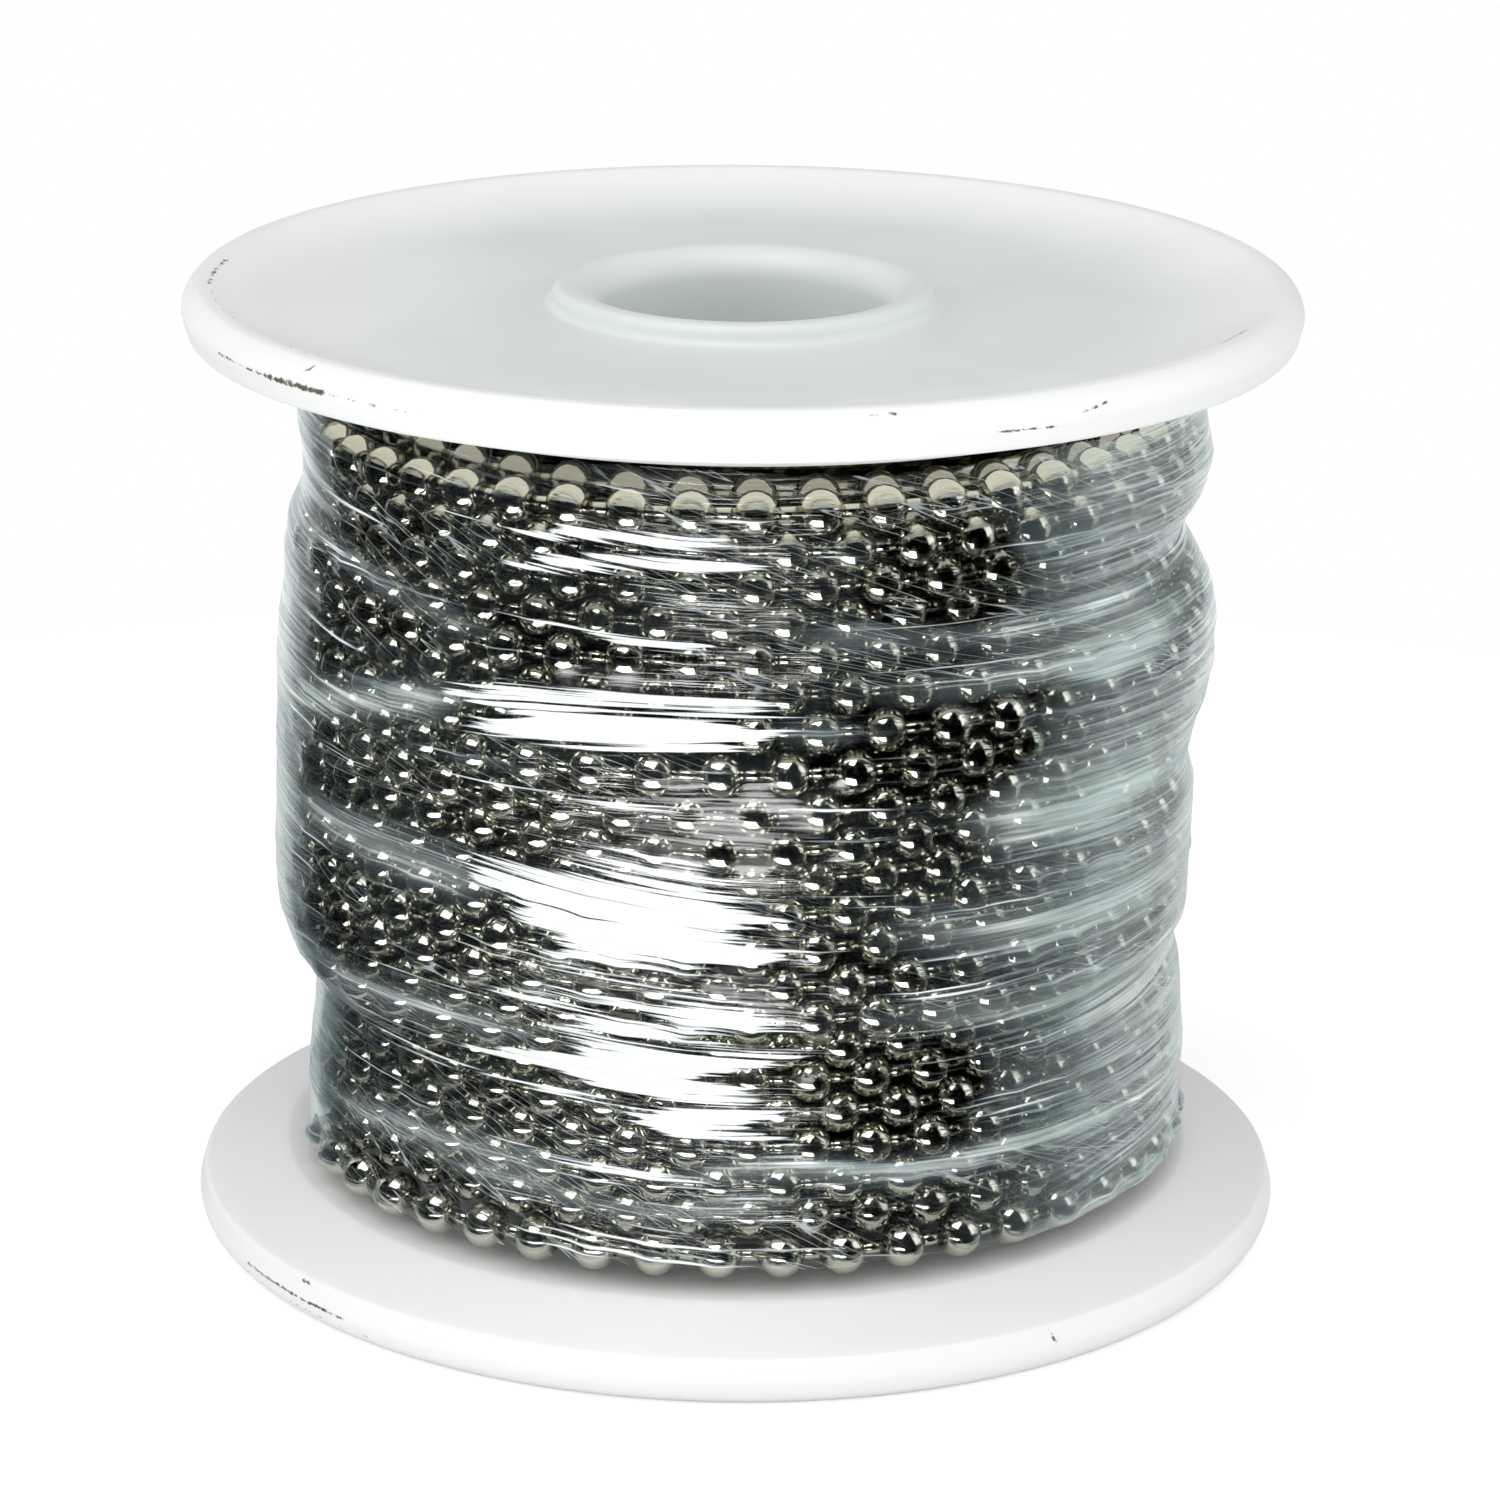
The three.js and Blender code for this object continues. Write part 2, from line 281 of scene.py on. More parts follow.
class Shader:
    """Builds a material's nodes with short calls."""

    def __init__(self, name):
        self.material = bpy.data.materials.new(name)
        self.material.use_nodes = True
        self.tree = self.material.node_tree
        self.tree.nodes.clear()

    def node(self, kind, settings=None, **inputs):
        made = self.tree.nodes.new(kind)
        for key, value in (settings or {}).items():
            setattr(made, key, value)
        for key, value in inputs.items():
            self.feed(made, key.replace("_", " "), value)
        return made

    def feed(self, node, key, value):
        """Gives an input, named or numbered, a value or another node's output."""
        socket = node.inputs[key]
        if isinstance(value, bpy.types.NodeSocket):
            self.tree.links.new(value, socket)
        else:
            socket.default_value = value

    def math(self, operation, a, b=0.0, clamp=False):
        made = self.node("ShaderNodeMath", {"operation": operation, "use_clamp": clamp})
        for slot, value in enumerate((a, b)):
            self.feed(made, slot, value)
        return made.outputs[0]

    def ramp(self, value, low, high, to_low=0.0, to_high=1.0, smooth=True):
        made = self.node(
            "ShaderNodeMapRange", {"interpolation_type": "SMOOTHSTEP" if smooth else "LINEAR"}, Value=value)
        for key, number in (
                ("From Min", low), ("From Max", high), ("To Min", to_low), ("To Max", to_high)):
            made.inputs[key].default_value = number
        return made.outputs["Result"]

    def mix_colour(self, share, first, second):
        made = self.node("ShaderNodeMix", {"data_type": "RGBA"})
        for slot, value in ((0, share), (6, first), (7, second)):
            self.feed(made, slot, value)
        return made.outputs[2]

    def mix_surface(self, share, first, second):
        made = self.node("ShaderNodeMixShader", Fac=share)
        self.feed(made, 1, first)
        self.feed(made, 2, second)
        return made.outputs[0]

    def attribute(self, name):
        return self.node("ShaderNodeAttribute", {"attribute_name": name}).outputs["Fac"]

    def wrap(self, across=1.0, up=1.0, turn=0.0):
        """The piece's unrolled surface in metres, turned in its plane and then stretched."""
        uv = self.node("ShaderNodeUVMap", {"uv_map": "wrap"}).outputs["UV"]
        turned = self.node("ShaderNodeMapping", Vector=uv, Rotation=(0, 0, turn)).outputs[0]
        return self.node("ShaderNodeMapping", Vector=turned, Scale=(across, up, 1)).outputs[0]

    def place(self, scale=1.0):
        point = self.node("ShaderNodeTexCoord").outputs["Object"]
        return self.node("ShaderNodeMapping", Vector=point, Scale=(scale, scale, scale)).outputs[0]

    def noise(self, vector, scale=1.0, detail=3.0, roughness=0.5, flat=False):
        made = self.node("ShaderNodeTexNoise", {"noise_dimensions": "2D" if flat else "3D"}, Vector=vector,
                         Scale=scale, Detail=detail, Roughness=roughness)
        return made.outputs["Fac"]

    def bump(self, height, distance, strength=1.0):
        return self.node("ShaderNodeBump", Height=height, Distance=distance, Strength=strength).outputs[0]

    def finish(self, surface):
        self.node("ShaderNodeOutputMaterial", Surface=surface)
        return self.material


def rgba(red, green, blue):
    return (red, green, blue, 1.0)


# Reel

def arc(centre_radius, centre_level, radius, from_degrees, to_degrees, steps):
    angles = np.linspace(from_degrees, to_degrees, steps + 1) * DEGREE
    return [(centre_radius + radius * math.cos(a), centre_level + radius * math.sin(a)) for a in angles]


def arc_from_level(start, run, rise, steps):
    radius = (run * run + rise * rise) / (2 * rise)
    sweep = math.atan2(run, radius - rise) / DEGREE
    return arc(start[0], start[1] + radius, radius, -90, -90 + sweep, steps)


def soften(points, reach, steps=3):
    """Rounds the corners of a profile that turn by more than 12 degrees."""
    rounded = [points[0]]
    for before, corner, after in zip(points, points[1:], points[2:]):
        into = np.subtract(corner, before)
        out = np.subtract(after, corner)
        length_in, length_out = np.hypot(*into), np.hypot(*out)
        turn = math.acos(np.clip(np.dot(into, out) / (length_in * length_out), -1, 1))
        if turn < 12 * DEGREE:
            rounded.append(corner)
            continue
        start = np.subtract(corner, into / length_in * min(reach, 0.45 * length_in))
        end = np.add(corner, out / length_out * min(reach, 0.45 * length_out))
        for share in np.linspace(0, 1, steps + 1):
            bent = (1 - share) ** 2 * start + 2 * share * (1 - share) * np.array(corner) + share ** 2 * end
            rounded.append(tuple(bent))
    rounded.append(points[-1])
    return rounded


def fill_in(points, longest):
    """Adds points along the profile's long straight stretches."""
    filled = [points[0]]
    for start, end in zip(points, points[1:]):
        parts = max(1, math.ceil(math.hypot(end[0] - start[0], end[1] - start[1]) / longest))
        for part in range(1, parts + 1):
            share = part / parts
            filled.append((start[0] + (end[0] - start[0]) * share, start[1] + (end[1] - start[1]) * share))
    return filled


def flange_profile():
    """From the bore's mouth over the outer face, round the rim and back to the barrel."""
    collar_crest = WEB_OUTER_LEVEL + COLLAR_HEIGHT
    collar_ridge = BORE_RADIUS + COLLAR_LIP_RADIUS
    collar_round = COLLAR_HEIGHT - COLLAR_FILLET_RADIUS
    collar_edge = collar_ridge + COLLAR_CREST_WIDTH
    collar_foot = collar_edge + collar_round + COLLAR_FILLET_RADIUS
    crest_outer = FLANGE_RADIUS - RIM_CORNER_WIDTH
    crest_inner = crest_outer - RIM_CREST_WIDTH
    corner_radius = (RIM_CORNER_WIDTH ** 2 + DISH_DEPTH ** 2) / (2 * RIM_CORNER_WIDTH)
    corner_sweep = math.asin(DISH_DEPTH / corner_radius) / DEGREE
    band_foot = (FLANGE_RADIUS - RIM_BAND_TAPER, WEB_OUTER_LEVEL - RIM_BAND_HEIGHT)
    shoulder_start = (band_foot[0] - RIM_SHOULDER_WIDTH, WEB_INNER_LEVEL)
    slope_start = (crest_inner - DISH_SLOPE_WIDTH, WEB_OUTER_LEVEL)
    return [
        *arc(collar_ridge, collar_crest - COLLAR_LIP_RADIUS, COLLAR_LIP_RADIUS, 180, 90, 12),
        *arc(collar_edge, collar_crest - collar_round, collar_round, 90, 0, 6),
        *arc(collar_foot, WEB_OUTER_LEVEL + COLLAR_FILLET_RADIUS, COLLAR_FILLET_RADIUS, 180, 270, 6)[1:],
        *arc_from_level(slope_start, DISH_SLOPE_WIDTH, DISH_DEPTH, 12),
        *arc(FLANGE_RADIUS - corner_radius, WEB_OUTER_LEVEL, corner_radius, corner_sweep, 0, 8),
        band_foot, shoulder_start,
        *arc(BARREL_RADIUS + BARREL_FOOT_FILLET, WEB_INNER_LEVEL - BARREL_FOOT_FILLET,
             BARREL_FOOT_FILLET, 90, 180, 4),
    ]


def barrel_end(upper):
    end = SEAT_GAP / 2
    if upper:
        tip = end - SPIGOT_LENGTH
        return [(BARREL_RADIUS, end), (SPIGOT_RADIUS, end), (SPIGOT_RADIUS, tip), (BORE_RADIUS, tip)]
    floor = end + SPIGOT_LENGTH
    socket = SPIGOT_RADIUS + SEAT_GAP
    return [(BARREL_RADIUS, end), (socket, end), (socket, floor), (BORE_RADIUS, floor)]


def make_reel_half(name, upper, material):
    sides = 144
    profile = flange_profile() + barrel_end(upper)
    profile.append(profile[0])
    profile = np.array(fill_in(soften(profile, CORNER_REACH), LONGEST_STEP))
    lengths = np.concatenate([[0], np.cumsum(np.hypot(*np.diff(profile, axis=0).T))])
    profile = profile[:-1]
    rows = len(profile)
    angles = math.pi / 2 + 2 * math.pi * np.arange(sides) / sides
    radius, level = profile[:, 0][:, None], profile[:, 1][:, None]
    side = 1 if upper else -1
    points = np.stack([
        radius * np.cos(angles), radius * np.sin(angles),
        HALF_HEIGHT + side * level * np.ones_like(angles)], axis=-1).reshape(-1, 3)
    faces = grid_faces(rows, sides, wrap_rows=True, wrap_columns=True)
    row, column = np.divmod(np.arange(rows * sides), sides)
    corner_rows, corner_columns = [0, 1, 1, 0], [0, 0, 1, 1]
    uv = np.stack([
        np.stack([(column + c) / sides * 2 * math.pi * FLANGE_RADIUS, lengths[row + r]], axis=1)
        for r, c in zip(corner_rows, corner_columns)], axis=1)
    if not upper:
        faces, uv = faces[:, ::-1], uv[:, ::-1]
    half = mesh_object(name, points, [faces], material, [uv])
    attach(half, "root")
    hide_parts(name.replace("_moulding", ""))


# Winding

def winding_share(level):
    return np.clip((level - WINDING_FLOOR) / (WINDING_CEILING - WINDING_FLOOR), 0, 1)


def limb_radius(angle, level):
    """Radius of the wrapped winding, from its left and right outline in the photograph."""
    left = np.interp(level, LIMB_LEVELS, LIMB_LEFT)
    right = np.interp(level, LIMB_LEVELS, LIMB_RIGHT)
    return left + (right - left) * (1 + np.cos(angle)) / 2


def bead_centre_radius(angle, level):
    return limb_radius(angle, level) - BEAD_INSET


TURN_RISE = math.sqrt((BEAD_DIAMETER + NEST_SLACK) ** 2 - (BEAD_PITCH / 2) ** 2)
FIRST_TURN_LEVEL = WINDING_FLOOR + BEAD_DIAMETER / 2
FULL_TURNS = math.floor((WINDING_CEILING - WINDING_FLOOR - BEAD_DIAMETER) / TURN_RISE)


def turn_level(turns):
    level = FIRST_TURN_LEVEL + TURN_RISE * turns
    share = winding_share(level)
    return level + TURN_SWAY * np.sin(4 * math.pi * turns + 5 * share) * np.sin(math.pi * share)


def lay_turns(depth, offset, handed, seed, proud, wander):
    """Angle, radius and level of each bead in a layer that lies `depth` below the outer one."""
    per_turn = math.floor(2 * math.pi * (WOUND_RADIUS - depth) / BEAD_PITCH) + 0.5
    turns = np.arange(math.floor(FULL_TURNS * per_turn) + 1) / per_turn
    level = turn_level(turns)
    angle = handed * 2 * math.pi * turns + offset
    radius = bead_centre_radius(angle, level) - depth
    across, share = angle / (2 * math.pi), winding_share(level)
    middle = np.sin(math.pi * share) ** 0.5
    level = level + middle * wander * smooth_noise(across, share, 7, 9, seed)
    coarse = smooth_noise(across, share, 9, 15, seed + 1)
    close = smooth_noise(across, share, 23, 22, seed + 2)
    radius = radius + proud * (0.7 * coarse + 0.5 * close)
    return angle, radius, level


def furrow_depth(angle, level):
    """How far the furrows set a bead back."""
    depth = np.zeros_like(angle)
    for height, middle, half_width, deepest in FURROWS:
        off = (angle - FRONT - middle * DEGREE + math.pi) % (2 * math.pi) - math.pi
        reach = np.clip(1 - (off / (half_width * DEGREE)) ** 2, 0, 1)
        centre = WINDING_FLOOR + height * (WINDING_CEILING - WINDING_FLOOR)
        depth += deepest * reach * np.exp(-((level - centre) / FURROW_WIDTH) ** 2)
    return depth


def settle(angle, radius, level):
    """Pushes beads that overlap apart, outwards, inwards or along the reel."""
    home_radius, home_level = radius.copy(), level.copy()
    lowest, highest = WINDING_FLOOR + BEAD_DIAMETER / 2, WINDING_CEILING - BEAD_DIAMETER / 2

    def place():
        return np.stack([radius * np.cos(angle), radius * np.sin(angle), level], axis=1)

    start = place()
    gap = np.linalg.norm(start[:, None] - start[None], axis=2)
    first, second = np.nonzero(np.triu(gap < 1.6 * BEAD_DIAMETER, 1))
    outward = np.stack([np.cos(angle), np.sin(angle), np.zeros_like(angle)], axis=1)
    for _ in range(SETTLE_ROUNDS):
        points = place()
        apart = points[first] - points[second]
        distance = np.linalg.norm(apart, axis=1)
        push = np.clip(BEAD_DIAMETER - distance, 0, None) * 0.45
        along = apart / distance[:, None] * push[:, None]
        moved = np.zeros_like(points)
        np.add.at(moved, first, along)
        np.add.at(moved, second, -along)
        radius = radius + np.sum(moved * outward, axis=1) + 0.02 * (home_radius - radius)
        level = np.clip(level + moved[:, 2] + 0.02 * (home_level - level), lowest, highest)
    return radius, level


def bead_form(sides, rings, hole):
    """Points and faces of one bead about X, with a dimple where the link enters each end."""
    radius = BEAD_DIAMETER / 2
    if hole:
        mouth = math.asin(BEAD_HOLE_RADIUS / radius)
        polar = np.linspace(math.pi - mouth, mouth, rings)
        inset = radius * math.cos(mouth) - 0.15 * MM
        profile = [(-inset, 0.9 * BEAD_HOLE_RADIUS)]
        profile += [(radius * math.cos(a), radius * math.sin(a)) for a in polar]
        profile += [(inset, 0.9 * BEAD_HOLE_RADIUS)]
        ends = (-inset, inset)
    else:
        polar = np.linspace(math.pi, 0, rings + 2)[1:-1]
        profile = [(radius * math.cos(a), radius * math.sin(a)) for a in polar]
        ends = (-radius, radius)
    around = 2 * math.pi * np.arange(sides) / sides
    points = [(x, r * math.cos(a), r * math.sin(a)) for x, r in profile for a in around]
    points += [(ends[0], 0, 0), (ends[1], 0, 0)]
    rows = len(profile)
    quads = grid_faces(rows, sides, wrap_columns=True)[:, ::-1]
    near = np.arange(sides)
    after = (near + 1) % sides
    last = (rows - 1) * sides
    first_pole, last_pole = rows * sides, rows * sides + 1
    triangles = np.concatenate([
        np.stack([near, np.full(sides, first_pole), after], axis=1),
        np.stack([last + near, last + after, np.full(sides, last_pole)], axis=1)])
    return np.array(points), quads, triangles


def rod_form(sides):
    """Points and faces of a closed rod along X, from 0 to 1, with radius 1."""
    around = 2 * math.pi * np.arange(sides) / sides
    points = [(x, math.cos(a), math.sin(a)) for x in (0, 1) for a in around] + [(0, 0, 0), (1, 0, 0)]
    quads = grid_faces(2, sides, wrap_columns=True)[:, ::-1]
    near = np.arange(sides)
    after = (near + 1) % sides
    triangles = np.concatenate([
        np.stack([near, np.full(sides, 2 * sides), after], axis=1),
        np.stack([sides + near, sides + after, np.full(sides, 2 * sides + 1)], axis=1)])
    return np.array(points), quads, triangles


def copies(form, frames, centres, stretch=None):
    """Many copies of a form, each turned by its own frame (rows X, Y, Z) and moved to its centre."""
    points, quads, triangles = form
    local = np.broadcast_to(points, (len(centres), *points.shape))
    if stretch is not None:
        local = local * stretch[:, None, :]
    placed = np.einsum("nki,nij->nkj", local, frames) + centres[:, None, :]
    shift = (np.arange(len(centres)) * len(points))[:, None, None]
    return (
        placed.reshape(-1, 3),
        (quads[None] + shift).reshape(-1, 4),
        (triangles[None] + shift).reshape(-1, 3),
    )


def frames_along(direction, outward):
    x = direction / np.linalg.norm(direction, axis=1, keepdims=True)
    y = outward - np.sum(outward * x, axis=1, keepdims=True) * x
    y /= np.linalg.norm(y, axis=1, keepdims=True)
    return np.stack([x, y, np.cross(x, y)], axis=1)


def make_chain(name, centres, material, sides, rings, rod_sides, hole):
    """A bead at each centre, and a link from each bead to the next."""
    outward = centres * np.array([1, 1, 0])
    outward /= np.linalg.norm(outward, axis=1, keepdims=True)
    along = np.gradient(centres, axis=0)
    beads = copies(bead_form(sides, rings, hole), frames_along(along, outward), centres)
    step = centres[1:] - centres[:-1]
    length = np.linalg.norm(step, axis=1)
    tucked = 0.36 * BEAD_DIAMETER
    starts = centres[:-1] + step / length[:, None] * tucked
    stretch = np.stack([
        length - 2 * tucked, np.full(len(length), LINK_DIAMETER / 2),
        np.full(len(length), LINK_DIAMETER / 2)], axis=1)
    rods = copies(rod_form(rod_sides), frames_along(step, outward[:-1]), starts, stretch)
    shift = len(beads[0])
    piece = mesh_object(
        name, np.concatenate([beads[0], rods[0]]),
        [beads[1], rods[1] + shift, beads[2], rods[2] + shift], material)
    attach(piece, "root")
    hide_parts("wound_chain")


def cartesian(angle, radius, level):
    return np.stack([radius * np.cos(angle), radius * np.sin(angle), level], axis=-1)


def make_core(material):
    """The deeper layers of the winding, as a drum with a ridge for each turn."""
    sides, per_turn = 72, 4
    levels = np.linspace(WINDING_FLOOR, WINDING_CEILING, FULL_TURNS * per_turn + 1)
    ridge = 0.6 * MM * np.cos(2 * math.pi * (levels - FIRST_TURN_LEVEL) / TURN_RISE)
    angles = 2 * math.pi * np.arange(sides) / sides
    radius = bead_centre_radius(angles[None], levels[:, None]) - 2 * LAYER_STEP + 1.2 * MM + ridge[:, None]
    inner = np.full((2, sides), BARREL_RADIUS + SEAT_GAP)
    radius = np.concatenate([radius, inner])
    levels = np.concatenate([levels, [WINDING_CEILING, WINDING_FLOOR]])
    points = cartesian(angles[None] + 0 * radius, radius, levels[:, None] + 0 * radius).reshape(-1, 3)
    faces = grid_faces(len(levels), sides, wrap_rows=True, wrap_columns=True)[:, ::-1]
    core = mesh_object("winding_core", points, [faces], material)
    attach(core, "root")
    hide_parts("wound_chain")


# Film

def bead_envelope(angles, levels, beads):
    """The outermost bead surface over a grid of angles and levels, and 0 where no bead lies."""
    bead_angle, bead_radius, bead_level = beads
    step_angle, step_level = angles[1] - angles[0], levels[1] - levels[0]
    envelope = np.zeros((len(levels), len(angles)))
    reach = BEAD_DIAMETER / 2
    wide = math.ceil(reach / (WOUND_RADIUS * step_angle)) + 1
    tall = math.ceil(reach / step_level) + 1
    columns = np.round((bead_angle - angles[0]) / step_angle).astype(int)
    rows = np.round((bead_level - levels[0]) / step_level).astype(int)
    for i in range(-tall, tall + 1):
        row = rows + i
        inside = (row >= 0) & (row < len(levels))
        rise = levels[np.clip(row, 0, len(levels) - 1)] - bead_level
        for j in range(-wide, wide + 1):
            column = columns + j
            turn = angles[0] + column * step_angle - bead_angle
            across = bead_radius * turn
            height = reach ** 2 - rise ** 2 - across ** 2
            near = inside & (height > 0)
            np.maximum.at(
                envelope, (row[near], column[near] % len(angles)),
                bead_radius[near] + np.sqrt(height[near]))
    return envelope


def crest_nearby(envelope, angles, levels):
    """The height of the most proud bead within half a bead's width, at each place of the envelope."""
    reach = 0.62 * BEAD_DIAMETER
    wide = round(reach / (WOUND_RADIUS * (angles[1] - angles[0])))
    tall = round(reach / (levels[1] - levels[0]))
    crest = envelope.copy()
    for shift in range(-wide, wide + 1):
        crest = np.maximum(crest, np.roll(envelope, shift, axis=1))
    padded = np.pad(crest, ((tall, tall), (0, 0)), mode="edge")
    return np.max([padded[i:i + len(levels)] for i in range(2 * tall + 1)], axis=0)


def stretch_over(envelope, start, rounds, pull, level_share):
    """A tight skin over the envelope. It pulls inwards and bridges what it can."""
    skin = start.copy()
    for _ in range(rounds):
        padded = np.concatenate([skin[:1], skin, skin[-1:]])
        up_down = (padded[:-2] + padded[2:]) / 2
        around = (np.roll(skin, 1, axis=1) + np.roll(skin, -1, axis=1)) / 2
        skin = np.maximum(envelope, level_share * up_down + (1 - level_share) * around - pull)
    return skin


def along_bands(bands, degrees, level, wobble):
    """The summed strength of a list of bands at each place of the film."""
    total = np.zeros_like(level + degrees)
    for first, first_level, last, last_level, half, strength in bands:
        share = (degrees - first) / (last - first)
        centre = (first_level + (last_level - first_level) * np.clip(share, 0, 1)) * MM + wobble
        ends = np.clip(share * 4 + 0.4, 0, 1) * np.clip((1 - share) * 4 + 0.4, 0, 1)
        thickness = 1.25 * half * MM * (0.3 + 0.7 * ends)
        total += strength * ends * np.exp(-(np.abs(level - centre) / thickness) ** 2)
    return total


def make_film(name, beads, lift, first_angle, last_angle, columns, rows, pull, seed, material, banded):
    """One turn of the film, or a part of one, as a sheet stretched over the beads."""
    around = SKIN_COLUMNS
    angles = FRONT + math.pi + 2 * math.pi * np.arange(around) / around
    bottom, top = WINDING_FLOOR + FILM_BOTTOM_INSET, WINDING_CEILING - FILM_TOP_INSET
    levels = np.linspace(bottom, top, rows)
    envelope = bead_envelope(angles, levels, beads)
    start = np.broadcast_to(envelope.max(axis=1, keepdims=True), envelope.shape) + 0.5 * MM
    skin = stretch_over(envelope, start, SKIN_ROUNDS, pull, 0.45)
    at_limb = np.abs(np.cos(angles)) ** 6
    limb = limb_radius(angles[None], levels[:, None]) - lift
    skin = np.maximum(envelope, skin * (1 - at_limb) + limb * at_limb)
    bridge = np.clip(skin - crest_nearby(envelope, angles, levels), 0, 3 * MM)

    share = np.linspace(0, 1, columns)
    at = first_angle + (last_angle - first_angle) * share
    position = ((at - angles[0]) / (2 * math.pi)) % 1 * around
    left = np.floor(position).astype(int) % around
    blend = position - np.floor(position)
    right = (left + 1) % around

    def sample(table):
        return table[:, left] * (1 - blend) + table[:, right] * blend

    across = (at / (2 * math.pi))[None, :]
    up = winding_share(levels)[:, None]
    ripple = smooth_noise(across + 0.15 * up, up, 24, 60, seed)
    fold = smooth_noise(across - 0.4 * up, up, 16, 22, seed + 5)
    radius = sample(skin) + lift + RIPPLE * (1 + ripple) + FOLD * np.clip(fold, 0, 1) ** 2
    near_edge = (np.abs(up - 0.5) * 2) ** 6
    level = levels[:, None] + EDGE_WANDER * near_edge * smooth_noise(across, up, 31, 4, seed + 1)
    points = cartesian(at[None, :] + 0 * radius, radius, level).reshape(-1, 3)
    faces = grid_faces(rows, columns)[:, ::-1]

    # The stretch lines of the film stray from the level: its pattern is laid askew by this much
    slow = smooth_noise(across + 0.1 * up, up, 6, 6, seed + 3)
    quick = smooth_noise(across, up, 22, 14, seed + 4)
    askew = STREAK_STRAY * (slow + 0.12 * quick)
    flat = np.stack([
        np.broadcast_to(at * (WOUND_RADIUS + BEAD_DIAMETER), radius.shape), level + askew], axis=-1)
    flat = flat.reshape(-1, 2)
    film = mesh_object(name, points, [faces], material, [flat[faces.ravel()]])

    degrees = ((at - FRONT + math.pi) % (2 * math.pi) - math.pi)[None, :] / DEGREE
    wobble = 0.9 * MM * smooth_noise(across, up, 21, 8, seed + 8)
    patches = smooth_noise(across + 0.2 * up, up, 30, 40, seed + 2) * 0.5 + 0.5
    clouds = smooth_noise(across, up, 11, 9, seed + 6) * 0.5 + 0.5
    strips = smooth_noise(across, up, 5, 34, seed + 9)
    # Painted reflection, partly real haze: the film is paler towards its left and right limbs, where it
    # reflects the pale background, and less so at the back.
    at_back = np.clip((np.abs(degrees) - 88) / 30, 0, 1)
    on_right = np.clip((degrees - 28) / 22, 0, 1) * (1 - 0.8 * at_back)
    on_left = np.clip((-degrees - 62) / 16, 0, 1) * (1 - 0.8 * at_back)
    sides = np.maximum(on_right, on_left) * (1.0 + 0.4 * (clouds - 0.5) + 0.25 * strips)
    haze_and_sheen = 0.54 * sides + banded * (along_bands(HAZE_BANDS, degrees, level, wobble) + 0.12 * patches)
    free = np.clip(sample(bridge) / VEIL_DEPTH, 0, 1)
    haze_and_sheen = haze_and_sheen * (0.6 + 0.6 * free) + free * (0.04 + 0.22 * patches ** 1.5)
    # Painted highlights: white crease bands, where the film's creases reflect the lamps, and a pale column
    # left of the front, below 58 mm, where that reflection runs down the film.
    ragged = degrees + 8 * smooth_noise(across, up, 6, 90, seed + 10)
    crease_highlight = banded * along_bands(CREASE_HIGHLIGHTS, ragged, level, wobble)
    crinkle = smooth_noise(across + 0.1 * up, up, 13, 17, seed + 7) * 0.5 + 0.5
    column = np.exp(-(((ragged + 14) / 20) ** 2)) * (level < 58 * MM)
    crinkle = np.clip(1.5 * crinkle - 0.35 + 0.4 * column, 0, 1)
    crease_highlight = crease_highlight + banded * (0.24 * column + (0.08 + 0.25 * at_back) * crinkle)
    add_value(film.data, "haze_and_sheen", np.clip(haze_and_sheen, 0, 1).ravel())
    add_value(film.data, "crease_highlight", (np.clip(crease_highlight, 0, 1) + 0 * radius).ravel())
    add_value(film.data, "crinkle", (crinkle + 0 * radius).ravel())
    from_end = np.minimum(at - first_angle, last_angle - at) * WOUND_RADIUS
    whole = last_angle - first_angle > 1.99 * math.pi
    inside = np.ones_like(at) if whole else np.clip(from_end / FILM_END_FADE, 0, 1) * 0.8 + 0.2
    add_value(film.data, "inside", np.broadcast_to(inside, radius.shape).ravel())
    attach(film, "root")
    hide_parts("stretch_film")


# Materials

# Painted light and shade on the white plastic: the web is painted darker than the rim, where less light
# falls on it, and the lower half has its own painted tones.
SHADED_WEB_COLOUR = rgba(0.735, 0.785, 0.77)
LIT_RIM_COLOUR = rgba(0.89, 0.90, 0.90)
LOWER_SHADED_WEB_COLOUR = rgba(0.86, 0.87, 0.86)
LOWER_LIT_RIM_COLOUR = rgba(0.88, 0.89, 0.885)
DIRT_COLOUR = rgba(0.13, 0.115, 0.08)
NICKEL_DARK = (0.50, 0.485, 0.42)
NICKEL_PALE = (0.64, 0.625, 0.56)
CLEAR_COLOUR = rgba(0.95, 0.98, 0.968)
STREAK_COLOUR = rgba(0.55, 0.68, 0.73)
# Tint of the film's haze and of its painted sheen at the limbs
HAZE_AND_SHEEN_COLOUR = rgba(0.80, 0.91, 0.89)
# The white of the film's painted crease highlights
CREASE_HIGHLIGHT_COLOUR = rgba(0.96, 0.98, 0.97)


